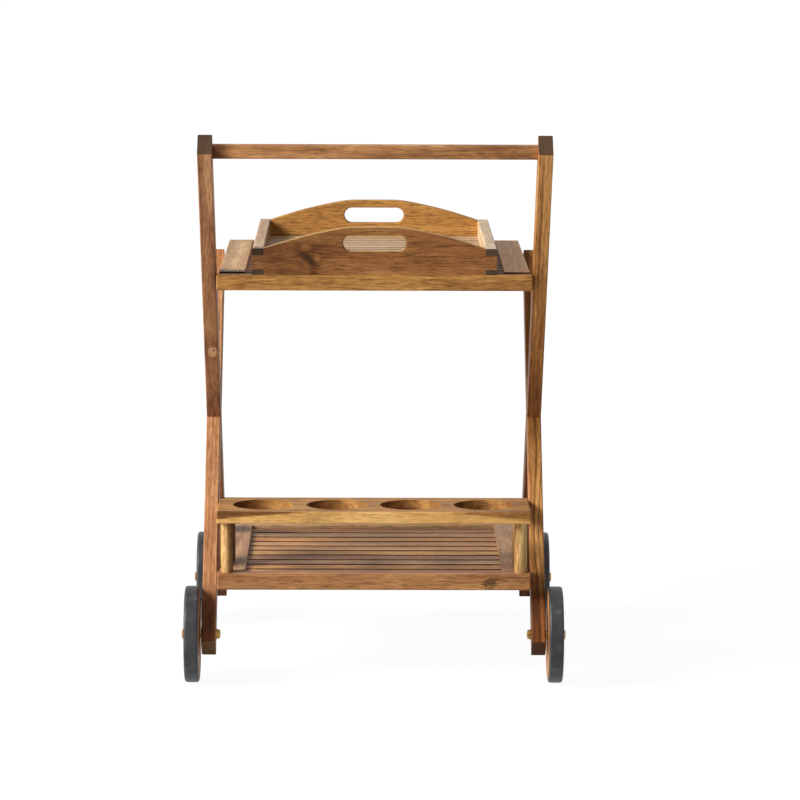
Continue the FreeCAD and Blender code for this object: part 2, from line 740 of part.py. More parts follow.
def tray_panel(end):
    """Make a tray end: a middle finger at each side, a crested top and a hand slot."""
    start = {"front": "cross_y + tray_front", "rear": "cross_y + tray_front + tray_length - tray_wall"}[end]
    body = new_body(f"tray_{end}_panel", "0", start, "upper_top")
    outline = sketch_on(body, "XZ_Plane")
    right = [("tray_inner", "0"), ("tray_inner", "finger_low"), ("tray_width / 2", "finger_low"),
             ("tray_width / 2", "finger_top"), ("tray_inner", "finger_top"),
             ("tray_inner", "tray_side_height"),
             ("tray_flank_reach", "tray_crest_height - tray_flank_drop"),
             ("tray_crest_width / 2", "tray_crest_height")]
    left = [("-" + x, z) for x, z in reversed(right)]
    polygon(outline, right + left)
    pad(body, outline, "tray_wall", -1)
    across = runs_along(Y_WAY)
    crest = SIZES["tray_crest_height"]
    flank = crest - SIZES["tray_flank_drop"]
    ease(body, "tray_crest_radius", lambda edge: across(edge) and abs(edge.Vertexes[0].Z - crest) < NEAR)
    ease(body, "tray_flank_radius", lambda edge: across(edge) and abs(edge.Vertexes[0].Z - flank) < NEAR)
    ease(body, "tray_ease",
         lambda edge: not across(edge) and edge.CenterOfMass.z > SIZES["tray_side_height"] + NEAR)
    slot = sketch_on(body, "XZ_Plane")
    stadium(slot, "slot_level", "slot_length", "slot_height")
    cut(body, slot, "tray_wall", -1)
    doc.recompute()
    half = SIZES["slot_length"] / 2 + NEAR
    low = SIZES["slot_level"] - SIZES["slot_height"] / 2 - NEAR
    high = SIZES["slot_level"] + SIZES["slot_height"] / 2 + NEAR

    def around_slot(edge):
        box = edge.BoundBox
        return not across(edge) and max(-box.XMin, box.XMax) < half and box.ZMin > low and box.ZMax < high
    ease(body, "slot_ease", around_slot)


def tray_side(side, sign):
    """Make a tray side: an upper and a lower finger at each end and a groove for the slat ends."""
    body = new_body(f"tray_side_{side}", f"{sign} * tray_inner", "cross_y + tray_front", "upper_top")
    outline = sketch_on(body, "YZ_Plane")
    back = "tray_length"
    inset = "tray_length - tray_wall"
    polygon(outline, [("0", "0"), (back, "0"), (back, "finger_low"), (inset, "finger_low"),
                      (inset, "finger_top"), (back, "finger_top"), (back, "tray_side_height"),
                      ("0", "tray_side_height"), ("0", "finger_top"), ("tray_wall", "finger_top"),
                      ("tray_wall", "finger_low"), ("0", "finger_low")])
    pad(body, outline, "tray_wall", sign)
    along_side = runs_along(Y_WAY)
    ease(body, "tray_ease",
         lambda edge: along_side(edge) and edge.Vertexes[0].Z > SIZES["tray_side_height"] - NEAR)
    groove = sketch_on(body, "YZ_Plane")
    rectangle(groove, "tray_wall", "tray_slat_level", inset,
              "tray_slat_level + tray_slat_thickness + slat_gap")
    cut(body, groove, "tray_groove", sign)


def tray_slats():
    """Lay the tray's floor slats evenly between its ends."""
    members = []
    for i in range(SIZES["tray_slat_count"]):
        y = (f"cross_y + tray_front + tray_wall + tray_slat_space"
             f" + {i} * (tray_slat_width + tray_slat_space)")
        members.append(slat(f"tray_slat_{i + 1:02d}", y, "upper_top + tray_slat_level", "tray_slat_width",
                            "tray_slat_thickness", "tray_slat_length", False))
    group("tray_slats", members)


def check_document():
    """Stop if any object failed, any node's shape is unsound or any pocket cut nothing."""
    for item in doc.Objects:
        if "Invalid" in item.State or "Error" in item.State:
            raise RuntimeError(f"{item.Label} failed: {item.State}")
        if item.TypeId == "PartDesign::Pocket":
            if item.Shape.Volume >= item.BaseFeature.Shape.Volume - LEAST_CUT:
                raise RuntimeError(f"{item.Label} cuts nothing")
    for item in nodes:
        if item.Shape.isNull() or not item.Shape.isValid():
            raise RuntimeError(f"{item.Label} has no sound shape")


def write_parts():
    os.makedirs("parts", exist_ok=True)
    for item in nodes:
        item.Shape.exportStep(f"parts/{item.Label}.step")


fill_sheet()
for side, sign in SIDES:
    handle_leg(side, sign)
    cross_leg(side, sign)
lap_pins()
handle_bar()
rail("upper", "front")
rail("upper", "rear", "board_outer")
lower_front_rail()
rail("lower", "rear")
for side, sign in SIDES:
    upper_side_board(side, sign)
    lower_side_board(side, sign)
    cleat(side, sign)
group("upper_slats", shelf_slats("upper", False))
shelf_slats("lower", True)
shelf_bolts()
cleat_screws()
rack_board()
for side, sign in SIDES:
    for end, way in ENDS:
        rack_post(end, way, side, sign)
        wheel(end, way, side, sign)
axles()
for end, way in ENDS:
    tray_panel(end)
for side, sign in SIDES:
    tray_side(side, sign)
tray_slats()
doc.recompute()
check_document()
write_parts()
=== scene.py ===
"""Looks of the wooden bar cart: oiled acacia boards, rubber tyres and brass bolts in a white studio."""
import math
import random

import bmesh
import bpy
from mathutils import Matrix, Vector


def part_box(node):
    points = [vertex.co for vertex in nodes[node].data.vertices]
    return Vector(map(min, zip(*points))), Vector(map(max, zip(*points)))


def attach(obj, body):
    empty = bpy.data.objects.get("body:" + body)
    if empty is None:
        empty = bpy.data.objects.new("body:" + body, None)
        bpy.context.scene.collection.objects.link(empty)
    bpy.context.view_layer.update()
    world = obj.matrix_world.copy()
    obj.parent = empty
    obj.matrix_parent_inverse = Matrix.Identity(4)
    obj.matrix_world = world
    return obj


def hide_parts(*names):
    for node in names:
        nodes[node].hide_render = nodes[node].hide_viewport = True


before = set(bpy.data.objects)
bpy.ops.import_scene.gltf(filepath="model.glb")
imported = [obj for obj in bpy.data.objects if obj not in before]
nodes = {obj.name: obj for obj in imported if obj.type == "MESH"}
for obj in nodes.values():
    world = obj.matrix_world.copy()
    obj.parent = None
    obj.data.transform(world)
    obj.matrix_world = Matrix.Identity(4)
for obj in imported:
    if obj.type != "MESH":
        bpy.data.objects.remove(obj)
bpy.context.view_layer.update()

X_WAY = Vector((1, 0, 0))
Y_WAY = Vector((0, 1, 0))
Z_WAY = Vector((0, 0, 1))
LEG_LEAN = math.radians(39)
SIDES = ("left", "right")
ENDS = ("front", "rear")


def srgb(red, green, blue):
    """Turn a colour as seen on a screen, 0 to 255, into the linear colour that a shader takes."""
    def linear(level):
        share = level / 255
        return share / 12.92 if share <= 0.04045 else ((share + 0.055) / 1.055) ** 2.4
    return (linear(red), linear(green), linear(blue), 1.0)


class Graph:
    """A material's node tree, with short calls for the nodes used here."""

    def __init__(self, name):
        self.material = bpy.data.materials.new(name)
        self.material.use_nodes = True
        self.tree = self.material.node_tree
        self.shader = self.tree.nodes["Principled BSDF"]

    def feed(self, socket, value):
        """Link a socket to another one, or set it to a plain value."""
        if isinstance(value, bpy.types.NodeSocket):
            self.tree.links.new(value, socket)
        else:
            socket.default_value = value

    def add(self, kind, output, inputs, **settings):
        """Add a node with its settings and inputs, and give one of its outputs."""
        node = self.tree.nodes.new("ShaderNode" + kind)
        for key, value in settings.items():
            setattr(node, key, value)
        for key, value in inputs.items():
            self.feed(node.inputs[key], value)
        return node.outputs[output]

    def coordinates(self):
        """Places and directions on the object's own axes, by the names of the outputs."""
        return self.tree.nodes.new("ShaderNodeTexCoord").outputs

    def surface(self, **inputs):
        """Set the shader's sockets, named with spaces written as underscores."""
        for key, value in inputs.items():
            self.feed(self.shader.inputs[key.replace("_", " ")], value)

    def math(self, operation, first, second=0.0, third=0.0):
        return self.add("Math", 0, {0: first, 1: second, 2: third}, operation=operation)

    def spread(self, value, least, extent):
        """A level that a value from 0 to 1 raises from least by up to an extent."""
        return self.math("MULTIPLY_ADD", value, extent, least)

    def swing(self, level, value, amount):
        """Move a level up and down with a value that varies about a half."""
        return self.math("MULTIPLY_ADD", self.math("SUBTRACT", value, 0.5), amount, level)

    def vector(self, operation, first, second=(0, 0, 0)):
        return self.add("VectorMath", 0, {0: first, 1: second}, operation=operation)

    def measure(self, operation, first, second=(0, 0, 0)):
        return self.add("VectorMath", "Value", {0: first, 1: second}, operation=operation)

    def noise(self, place, waves, detail=2.0, roughness=0.5, output="Fac"):
        """Noise in space, with so many waves per metre along each axis."""
        scaled = self.vector("MULTIPLY", place, waves)
        return self.add("TexNoise", output, {"Vector": scaled, "Scale": 1.0, "Detail": detail,
                                             "Roughness": roughness})

    def bands(self, place, shift, waves, detail):
        """Noise along a line, with so many waves per metre."""
        along = self.math("MULTIPLY_ADD", place, waves, shift)
        return self.add("TexNoise", "Fac", {"W": along, "Scale": 1.0, "Detail": detail},
                        noise_dimensions="1D")

    def step(self, value, low, high, start=0.0, end=1.0):
        """Go smoothly from one level to another while a value goes from low to high."""
        return self.add("MapRange", "Result", {"Value": value, "From Min": low, "From Max": high,
                                               "To Min": start, "To Max": end},
                        interpolation_type="SMOOTHSTEP")

    def mix(self, share, first, second, blend="MIX"):
        """Mix two colours; the numbers are the places of the node's colour sockets."""
        return self.add("Mix", 2, {0: share, 6: first, 7: second}, data_type="RGBA", blend_type=blend)

    def ramp(self, value, stops):
        """Colours at places along a scale, eased between them."""
        made = self.tree.nodes.new("ShaderNodeValToRGB")
        self.feed(made.inputs["Fac"], value)
        scale = made.color_ramp
        scale.interpolation = "EASE"
        while len(scale.elements) < len(stops):
            scale.elements.new(1.0)
        for element, (position, colour) in zip(scale.elements, stops):
            element.position = position
            element.color = colour
        return made.outputs["Color"]

    def bump(self, height, depth):
        made = self.add("Bump", "Normal", {"Height": height, "Distance": depth})
        self.surface(Normal=made)


# Tones of the wood, each the colour of its plain heartwood
TONES = {
    "russet": (172, 118, 78),
    "golden": (188, 128, 70),
    "amber": (198, 144, 78),
    "umber": (164, 109, 62),
    "brown": (180, 127, 80),
    "sapwood": (200, 156, 98),
    "honey": (190, 138, 77),
    "tan": (182, 136, 94),
    "wheat": (178, 140, 96),
    "pale": (196, 160, 124),
    "apricot": (228, 164, 106),
}
# Tones that the lower slats take in turn
SLAT_TONES = ("brown", "golden", "tan", "russet", "honey", "brown")
# Places on the scale from dark streaks to sapwood, and the share of a tone's colour at each
SHADES = ((0.1, (0.15, 0.11, 0.11)), (0.3, (0.33, 0.27, 0.27)), (0.43, (0.66, 0.6, 0.6)),
          (0.56, (1, 1, 1)), (0.72, (1.45, 1.65, 1.8)), (0.9, (1.65, 2.0, 2.5)))
# Shares of the colour as painted shade in the gaps between slats, as painted sheen on the rim of the tray,
# and on end grain
GAP_SHADE_SHARE = (0.24, 0.2, 0.18, 1)
RIM_SHEEN_SHARE = (2.0, 2.8, 2.7, 1)
END_SHARE = (0.25, 0.25, 0.25, 1)
# Colour of a knot, and the tint of end grain with its share
KNOT_HEART = srgb(58, 34, 20)
END_TONE = srgb(74, 60, 48)
END_TINT = 0.6

# Directions and planes of a board, on axes along the grain, across it and square to both
ALONG = (1, 0, 0)
BACK_ALONG = (-1, 0, 0)
ACROSS = (0, 1, 0)
BACK_ACROSS = (0, -1, 0)
SQUARE = (0, 0, 1)
CROSS_SECTION = (0, 1, 1)
BROAD_FACE = (1, 1, 0)

# Grain in waves per metre along, across and square, and rings in waves per metre from the pith
WANDER_WAVES = (2.2, 9, 9)
CLOUD_WAVES = (9, 40, 40)
MOTTLE_WAVES = (60, 230, 230)
DASH_WAVES = (36, 620, 620)
FIBRE_WAVES = (16, 850, 850)
PORE_WAVES = (52, 1500, 1500)
KNOT_WAVES = (160, 260, 260)
BROAD_RING_WAVES = 70
NARROW_RING_WAVES = 260

# Distances in metres: how far rings and marks wander, how far off the pith lies, the edge of a hole
RING_WANDER = (0, 0.034, 0.034)
MARK_WANDER = (0, 0.008, 0.008)
PITH_REACH = (0.05, 0.12)
HOLE_EDGE = 0.0005
PORE_DEPTH = 0.00025

# Shifts of the noise from board to board and from slat to slat
NOISE_SHIFT = (-20, 20)
RING_SHIFT = (0, 50)
LANE_SHIFT_ALONG = 0.73
LANE_SHIFT_SQUARE = 0.041

# Levels on the scale of shades, and how far each kind of grain moves them
PLAIN_LEVEL = 0.55
CLOUD_SWING = 0.44
MOTTLE_SWING = 0.28
FIBRE_SWING = 0.3
# Painted shade along the edges of slats that share a node, next to the gaps between them
LANE_EDGE_SHADE_LEVEL = -0.3

# Where along a noise, a distance or a turn a feature sets in and is full, or the other way round
STREAK_RANGE = (0.52, 0.72)
DASH_RANGE = (0.55, 0.67)
PORE_RANGE = (0.6, 0.7)
SPOT_RANGE = (0.4, 1.2)
KNOT_RANGE = (0.45, 1.15)
KNOT_PULL_RANGE = (0.0, 2.6)
LANE_EDGE_RANGE = (0.36, 0.46)
FLANK_RANGE = (0.5, 0.8)
END_RANGE = (0.7, 0.95)
JOINT_END_RANGE = (0.6, 0.85)
# Beyond the squarest turn, which is 1, so that end grain never sets in
NO_END_RANGE = (1.5, 2.0)

# Strength of pores, fibres and knots, and roughness of the surface
PORE_SHARE = 0.4
FIBRE_HEIGHT = 0.4
KNOT_PULL = -0.45
WOOD_ROUGHNESS = 0.42
FIBRE_ROUGHNESS = 0.16
END_ROUGHNESS = 0.22


def shades(tone):
    """Colours of a wood from dark streak to sapwood, with their places on the scale."""
    base = srgb(*TONES[tone])
    return [(place, [channel * share for channel, share in zip(base, shares)] + [1])
            for place, shares in SHADES]


def turn_to_x(way):
    """Rotation that lays a direction along X; the direction lies along X already or square to it."""
    across = Y_WAY if abs(way.x) > 0.9 else X_WAY
    return Matrix((way, across, way.cross(across)))


def board_place(g, object_place, node, grain):
    """Places in a board from the middle of its node's box: along its grain, across and square to both."""
    low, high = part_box(node)
    turn = turn_to_x(grain)
    centred = -(turn @ ((low + high) / 2))
    return g.add("Mapping", "Vector", {"Vector": object_place, "Location": centred,
                                       "Rotation": turn.to_euler()})


def split_lanes(g, board, pitch):
    """Shift each slat of a shared node to other grain, and give the distance from its middle in pitches."""
    lane_place = g.math("DIVIDE", g.measure("DOT_PRODUCT", board, ACROSS), pitch)
    lane = g.math("FLOOR", lane_place)
    shift = g.add("CombineXYZ", "Vector", {"X": g.math("MULTIPLY", lane, LANE_SHIFT_ALONG),
                                           "Z": g.math("MULTIPLY", lane, LANE_SHIFT_SQUARE)})
    from_middle = g.math("ABSOLUTE", g.math("SUBTRACT", g.math("FRACT", lane_place), 0.5))
    return g.vector("ADD", board, shift), from_middle


def bend_around(g, board, place, knot):
    """Bend the grain around a knot, and give how strongly the knot's own colour shows."""
    middle, half_axes, slant, raggedness, strength = knot
    away = g.vector("SUBTRACT", board, middle)
    lean = g.math("MULTIPLY", g.measure("DOT_PRODUCT", away, SQUARE), -slant)
    upright = g.vector("ADD", away, g.add("CombineXYZ", "Vector", {"X": lean}))
    span = g.measure("LENGTH", g.vector("DIVIDE", upright, half_axes))
    pull = g.step(span, *KNOT_PULL_RANGE, KNOT_PULL, 0.0)
    sideways = g.vector("MULTIPLY", away, CROSS_SECTION)
    pulled = g.add("VectorMath", 0, {0: sideways, "Scale": pull}, operation="SCALE")
    ragged = g.swing(span, g.noise(away, KNOT_WAVES, detail=3.0), raggedness)
    return g.vector("ADD", place, pulled), g.step(ragged, *KNOT_RANGE, strength, 0.0)


def add_marks(g, level, board, marked, sides, spots, bores):
    """Lighten or darken a board beyond planes and inside ellipsoids, and paint shade on the walls of holes.
    """
    for direction, offset, softness, amount in sides:
        beyond = g.math("SUBTRACT", g.measure("DOT_PRODUCT", marked, direction), offset)
        level = g.math("ADD", level, g.step(beyond, -softness, softness, 0.0, amount))
    for middle, half_axes, amount in spots:
        span = g.measure("LENGTH", g.vector("DIVIDE", g.vector("SUBTRACT", marked, middle), half_axes))
        level = g.math("ADD", level, g.step(span, *SPOT_RANGE, amount, 0.0))
    # Painted shade on the walls of holes, from one amount to the other along the grain
    for middle, radius, first_amount, last_amount in bores:
        around = g.vector("MULTIPLY", g.vector("SUBTRACT", board, middle), BROAD_FACE)
        inside = g.step(g.measure("LENGTH", around), radius, radius + HOLE_EDGE, 1.0, 0.0)
        along = g.measure("DOT_PRODUCT", around, ALONG)
        amount = g.step(along, -radius, radius, first_amount, last_amount)
        level = g.math("MULTIPLY_ADD", inside, amount, level)
    return level


def wood(name, node, grain, tone, bias=0.0, figure=0.36, sides=(), spots=(), knots=(), bores=(),
         lane_pitch=0.0, ends=END_RANGE, sawn_tone=END_TONE, flank=None, dash_share=0.64,
         streak_share=0.28, gloss=0.14, pith_angle=None):
    """Oiled acacia in one board: bands along the rings of a trunk, fibres, pores, end grain and knots.

    Places are in metres from the middle of the node's box: along the grain, across it and square to both.
    bias lightens the whole board, and figure says how strongly its broad rings show.
    sides lighten it beyond a plane (direction, offset, softness, amount), spots inside an ellipsoid
    (middle, half axes, amount), and bores paint shade on the wall of a hole (middle, radius, amounts at
    its first and last place along the grain); amounts below zero darken.
    knots are dark ellipsoids (middle, half axes, slant along the grain, raggedness, strength).
    lane_pitch is the pitch of slats that share a node; their edges get painted shade, next to the gaps
    between them.
    ends say how squarely a face lies to the grain where it starts and ends to turn into end grain, which
    sawn_tone tints. flank (direction, share) changes the colour of faces that look that way or back:
    painted shade in the gaps between slats, or painted sheen on a rim.
    dash_share, streak_share and gloss are the strength of dashes, narrow rings and shine.
    pith_angle is the pith's direction from the board, drawn by chance where none is given.
    """
    draws = random.Random(name)
    g = Graph(name)
    coordinates = g.coordinates()
    normal = coordinates["Normal"]
    board = board_place(g, coordinates["Object"], node, grain)
    place = board
    if lane_pitch:
        place, from_middle = split_lanes(g, board, lane_pitch)
    knot_shades = []
    for knot in knots:
        place, knot_shade = bend_around(g, board, place, knot)
        knot_shades.append(knot_shade)

    seeded = g.vector("ADD", place, [draws.uniform(*NOISE_SHIFT) for _ in range(3)])
    wander = g.vector("SUBTRACT", g.noise(seeded, WANDER_WAVES, output="Color"), (0.5, 0.5, 0.5))
    bent = g.vector("ADD", place, g.vector("MULTIPLY", wander, RING_WANDER))
    marked = g.vector("ADD", board, g.vector("MULTIPLY", wander, MARK_WANDER))
    angle = draws.uniform(0, 2 * math.pi)
    if pith_angle is not None:
        angle = pith_angle
    reach = draws.uniform(*PITH_REACH)
    pith = (0, reach * math.cos(angle), reach * math.sin(angle))
    ring = g.measure("LENGTH", g.vector("MULTIPLY", g.vector("SUBTRACT", bent, pith), CROSS_SECTION))
    broad = g.bands(ring, draws.uniform(*RING_SHIFT), BROAD_RING_WAVES, detail=1.5)
    narrow = g.bands(ring, draws.uniform(*RING_SHIFT), NARROW_RING_WAVES, detail=3.0)
    cloud = g.noise(seeded, CLOUD_WAVES, detail=3.0, roughness=0.55)
    mottle = g.noise(seeded, MOTTLE_WAVES, roughness=0.6)
    dashes = g.noise(seeded, DASH_WAVES, roughness=0.6)
    fibre = g.noise(seeded, FIBRE_WAVES, detail=3.0, roughness=0.6)
    pores = g.step(g.noise(seeded, PORE_WAVES, detail=1.0), *PORE_RANGE)

    level = g.swing(PLAIN_LEVEL + bias, broad, figure)
    level = g.swing(level, cloud, CLOUD_SWING)
    level = g.swing(level, mottle, MOTTLE_SWING)
    level = g.swing(level, fibre, FIBRE_SWING)
    if lane_pitch:
        # Painted shade along the slats' edges, next to the gaps between them
        level = g.math("ADD", level, g.step(from_middle, *LANE_EDGE_RANGE, 0.0, LANE_EDGE_SHADE_LEVEL))
    level = add_marks(g, level, board, marked, sides, spots, bores)

    scale = shades(tone)
    dark = scale[0][1]
    colour = g.ramp(level, scale)
    colour = g.mix(g.step(narrow, *STREAK_RANGE, 0.0, streak_share), colour, dark)
    colour = g.mix(g.step(dashes, *DASH_RANGE, 0.0, dash_share), colour, dark)
    colour = g.mix(g.math("MULTIPLY", pores, PORE_SHARE), colour, dark)
    for knot_shade in knot_shades:
        colour = g.mix(knot_shade, colour, KNOT_HEART)
    # Painted shade or painted sheen on faces that look along flank's direction
    if flank is not None:
        direction, share = flank
        turned_to = g.math("ABSOLUTE", g.measure("DOT_PRODUCT", normal, direction))
        colour = g.mix(g.step(turned_to, *FLANK_RANGE), colour, g.mix(1.0, colour, share, "MULTIPLY"))
    end = g.step(g.math("ABSOLUTE", g.measure("DOT_PRODUCT", normal, grain)), *ends)
    sawn = g.mix(END_TINT, g.mix(1.0, colour, END_SHARE, "MULTIPLY"), sawn_tone)
    colour = g.mix(end, colour, sawn)

    rough = g.spread(fibre, WOOD_ROUGHNESS, FIBRE_ROUGHNESS)
    rough = g.spread(end, rough, END_ROUGHNESS)
    g.surface(Base_Color=colour, Roughness=rough, Specular_IOR_Level=gloss)
    g.bump(g.math("SUBTRACT", g.math("MULTIPLY", fibre, FIBRE_HEIGHT), pores), PORE_DEPTH)
    return g.material


def rubber():
    """Black rubber, unevenly dusty and finely pitted."""
    g = Graph("tyre_rubber")
    place = g.coordinates()["Object"]
    dust = g.noise(place, (45, 45, 45), detail=4.0, roughness=0.6)
    speck = g.noise(place, (900, 900, 900), roughness=0.6)
    colour = g.ramp(dust, [(0.3, srgb(32, 33, 36)), (0.55, srgb(52, 52, 54)), (0.72, srgb(80, 78, 75))])
    g.surface(Base_Color=colour, Roughness=g.spread(dust, least=0.38, extent=0.2),
              Specular_IOR_Level=0.42)
    g.bump(speck, depth=0.00012)
    return g.material


def metal(name, light, dark, roughness):
    """Plated metal with fine scratches and a slightly uneven tint."""
    extent = 0.22
    g = Graph(name)
    place = g.coordinates()["Object"]
    tint = g.noise(place, (160, 160, 160), detail=3.0, roughness=0.6)
    scratch = g.noise(place, (900, 2600, 2600), roughness=0.6)
    g.surface(Base_Color=g.ramp(tint, [(0.35, dark), (0.65, light)]), Metallic=1.0,
              Roughness=g.spread(scratch, roughness - extent / 2, extent))
    g.bump(scratch, depth=0.00004)
    return g.material


def nylon():
    """Brown nylon with a cloudy surface."""
    g = Graph("spacer_nylon")
    cloud = g.noise(g.coordinates()["Object"], (300, 300, 300), detail=3.0, roughness=0.6)
    g.surface(Base_Color=g.ramp(cloud, [(0.3, srgb(74, 48, 30)), (0.7, srgb(104, 72, 46))]),
              Roughness=g.spread(cloud, least=0.45, extent=0.2))
    g.bump(cloud, depth=0.0001)
    return g.material


def dress(node, material):
    """Give a node one material all over."""
    mesh = nodes[node].data
    mesh.materials.clear()
    mesh.materials.append(material)


def leg_way(lean):
    """Direction of a leg from its foot up, leaning to the front for -1 and to the rear for 1."""
    return Vector((0, lean * math.sin(LEG_LEAN), math.cos(LEG_LEAN)))


def leg_boards():
    """Grain, tone and other values of the wood of each leg and of the pins of the half-laps."""
    front = -0.021
    return {
        "leg_handle_left": (leg_way(-1), "russet", {
            "figure": 0.42,
            "bias": -0.015,
            "dash_share": 0.52,
            "sides": [(BACK_ALONG, 0.012, 0.03, -0.09),
                      # Painted shade on the rear foot, which faces down
                      (BACK_ALONG, 0.4, 0.03, -0.12)],
            "spots": [((0.47, 0.0095, front), (0.13, 0.011, 0.03), 0.24),
                      ((0.084, 0.0005, front), (0.04, 0.016, 0.02), -0.12),
                      ((0.0794, 0.0005, front), (0.0125, 0.0085, 0.012), 0.48)],
            "knots": [((0.083, 0.0035, front), (0.0026, 0.0024, 0.006), 0.0, 0.9, 0.85)]}),
        "leg_handle_right": (leg_way(-1), "golden", {
            "figure": 0.42,
            "bias": 0.03,
            "streak_share": 0.42,
            "pith_angle": 0.0,
            "sawn_tone": srgb(80, 66, 56),
            "sides": [(BACK_ACROSS, 0.0055, 0.002, -0.12),
                      # Painted shade: darker towards the bottom, where the upper shelf shades the leg, and
                      # lighter towards the top
                      (ALONG, 0.33, 0.12, 0.13),
                      (BACK_ALONG, -0.12, 0.12, -0.18)],
            "spots": [((0.36, -0.0035, front), (0.2, 0.003, 0.03), -0.22)]}),
        "leg_cross_left": (leg_way(1), "russet", {
            "bias": 0.08,
            "dash_share": 0.4,
            "sawn_tone": srgb(142, 112, 76),
            "sides": [(ACROSS, 0.008, 0.0015, 0.1),
                      # Painted shadow of the front wheel on the foot of the leg
                      (BACK_ALONG, 0.27, 0.04, -0.24)]}),
        "leg_cross_right": (leg_way(1), "golden", {
            "figure": 0.46,
            "bias": 0.05,
            "streak_share": 0.7,
            "pith_angle": 0.0,
            "sawn_tone": srgb(92, 62, 38),
            "sides": [(BACK_ACROSS, 0.006, 0.002, -0.08),
                      (ALONG, -0.07, 0.04, -0.05),
                      (BACK_ALONG, 0.265, 0.03, -0.36)],
            # Painted light that lifts the middle of the leg out of a cast shadow
            "spots": [((-0.16, 0.0, front), (0.11, 0.02, 0.02), 0.16)]}),
        "lap_pins": (X_WAY, "brown", {}),
    }


def shelf_boards():
    """Wood of the handle bar and of both shelves."""
    # Painted shade on the slat faces that look front or back, in the gaps between slats
    gap_shade = (Y_WAY, GAP_SHADE_SHARE)
    rail_front = -0.017
    boards = {
        "handle_bar": (X_WAY, "brown", {
            "figure": 0.24,
            "dash_share": 0.48,
            # The first side is a painted shadow of the left handle leg on the bar's left end
            "sides": [(BACK_ALONG, 0.216, 0.016, -0.33),
                      (BACK_ALONG, 0.1, 0.05, 0.04),
                      (ALONG, 0.09, 0.04, -0.06)],
            "spots": [((0.068, -0.01, 0.002), (0.022, 0.01, 0.008), -0.07)]}),
        "upper_front_rail": (X_WAY, "amber", {
            "figure": 0.24,
            "bias": 0.03,
            "sides": [(ALONG, 0.1, 0.06, -0.07),
                      (BACK_ALONG, 0.1, 0.06, -0.06)]}),
        "upper_rear_rail": (X_WAY, "amber", {}),
        "upper_side_board_left": (Y_WAY, "wheat", {"figure": 0.2, "bias": 0.03, "dash_share": 0.4}),
        # Lightened and warmed as painted light, making up for the tray's shade on this board
        "upper_side_board_right": (Y_WAY, "apricot", {
            "figure": 0.24,
            "bias": 0.21,
            "dash_share": 0.4,
            "gloss": 0.08}),
        "upper_slats": (X_WAY, "umber", {
            # Darkened all over as painted shade, for the slats lie in shade between the tray and the side
            # boards
            "bias": -0.24,
            "lane_pitch": 0.04045,
            "flank": gap_shade,
            "gloss": 0.03}),
        "lower_front_rail": (X_WAY, "brown", {
            "figure": 0.28,
            "bias": -0.03,
            "dash_share": 0.5,
            "knots": [((0.177, rail_front, 0.0), (0.0125, 0.02, 0.012), 0.2, 2.5, 0.66)]}),
        "lower_rear_rail": (X_WAY, "tan", {"bias": 0.12}),
        "lower_side_board_left": (Y_WAY, "tan", {"dash_share": 0.5}),
        "lower_side_board_right": (Y_WAY, "tan", {
            "figure": 0.28,
            "bias": 0.08,
            "dash_share": 0.5,
            "gloss": 0.09}),
    }
    for side in SIDES:
        boards[f"upper_cleat_{side}"] = (Y_WAY, "brown", {})

    # Lower slats have painted shade along both edges, next to the gaps between them, and a painted glint
    # near the front one
    edge_shade_width = 0.003
    lower_slats = sorted(node for node in nodes if node.startswith("lower_slat_"))
    for i, node in enumerate(lower_slats):
        low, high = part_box(node)
        edge = (high.y - low.y) / 2 - edge_shade_width
        draws = random.Random(node)
        glint_middle = (draws.uniform(-0.15, 0.15), edge_shade_width - edge, (high.z - low.z) / 2)
        glint_half_axes = (draws.uniform(0.06, 0.14), 0.005, 0.01)
        boards[node] = (X_WAY, SLAT_TONES[i % len(SLAT_TONES)], {
            "bias": 0.1,
            "sides": [(way, edge, 0.002, -0.3) for way in (BACK_ACROSS, ACROSS)],
            "spots": [(glint_middle, glint_half_axes, 0.45)],
            "flank": gap_shade,
            "gloss": 0.09})
    return boards


def rack_boards():
    """Wood of the bottle rack: a pale front edge, with a dark wedge along its top at either end, and
    painted shade on the walls of its holes.
    """
    front = 0.07
    wedge_slope = 1.2
    hole_count = 4
    hole_pitch = 0.1125
    hole_wall = 0.0468
    holes = [hole_pitch * (i - (hole_count - 1) / 2) for i in range(hole_count)]
    boards = {
        "rack_board": (X_WAY, "honey", {
            "figure": 0.28,
            "bias": -0.03,
            "dash_share": 0.45,
            "gloss": 0.07,
            "ends": NO_END_RANGE,
            "sides": [(BACK_ACROSS, 0.064, 0.003, 0.27),
                      ((-0.08, -wedge_slope, 1), 0.015 + wedge_slope * front, 0.002, -0.42),
                      ((0.09, -wedge_slope, 1), 0.019 + wedge_slope * front, 0.004, -0.36)],
            # Painted shade on the walls of the holes, darkest at their left
            "bores": [((hole, 0, 0), hole_wall, -0.2, -0.05) for hole in holes]}),
    }
    # Painted shade down the right side of the left posts; the right posts are lighter on their right side
    post_shades = {"left": (ACROSS, 0.003, 0.006, -0.26), "right": (ACROSS, -0.004, 0.006, 0.14)}
    for side in SIDES:
        for end in ENDS:
            boards[f"rack_post_{end}_{side}"] = (Z_WAY, "sapwood", {
                "figure": 0.24,
                "bias": -0.03,
                "sides": [post_shades[side]]})
    return boards


